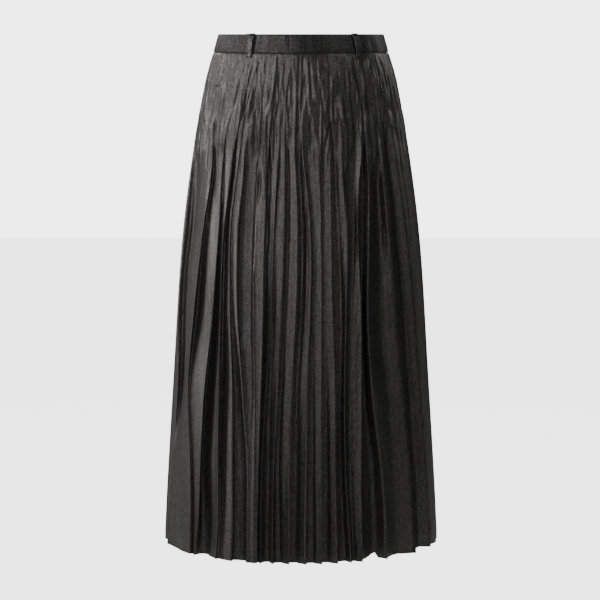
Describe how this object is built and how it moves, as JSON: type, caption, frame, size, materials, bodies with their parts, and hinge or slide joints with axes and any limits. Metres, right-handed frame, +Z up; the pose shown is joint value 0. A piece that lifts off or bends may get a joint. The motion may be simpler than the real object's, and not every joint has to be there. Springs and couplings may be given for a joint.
{
  "type": "pleated maxi skirt",
  "caption": "Full-length skirt in irregular knife pleats that open from a fitted waistband with belt loops; closes with a concealed zip at the centre back.",
  "frame": {"origin": "centre of the waist opening, half way up the waistband", "axes": "+Z up, towards the waist opening; the front faces -Y; the wearer's left side is at +X"},
  "size_m": [0.4666, 0.4148, 0.8594],
  "materials": {
    "metallic_cloth": "dark woven cloth with a foil sheen",
    "zip_tape": "matt woven tape",
    "zip_metal": "black lacquer on zinc"
  },
  "bodies": {
    "skirt": {"front_panel": "metallic_cloth", "back_panel_left": "metallic_cloth", "back_panel_right": "metallic_cloth", "waistband_front": "metallic_cloth", "waistband_back_left": "metallic_cloth", "waistband_back_right": "metallic_cloth", "belt_loop_front_left": "metallic_cloth", "belt_loop_front_right": "metallic_cloth", "belt_loop_back_left": "metallic_cloth", "belt_loop_back_right": "metallic_cloth", "zip_tape": "zip_tape", "zip_slider": "zip_metal"},
    "pull_tab": {"zip_pull": "zip_metal"}
  },
  "joints": [
    {"name": "pull_tab_hinge", "type": "hinge", "parent": "skirt", "child": "pull_tab", "pos_m": [0, 0.10787, 0.00882], "axis": [1, 0, 0], "range_deg": [0, 150]}
  ]
}
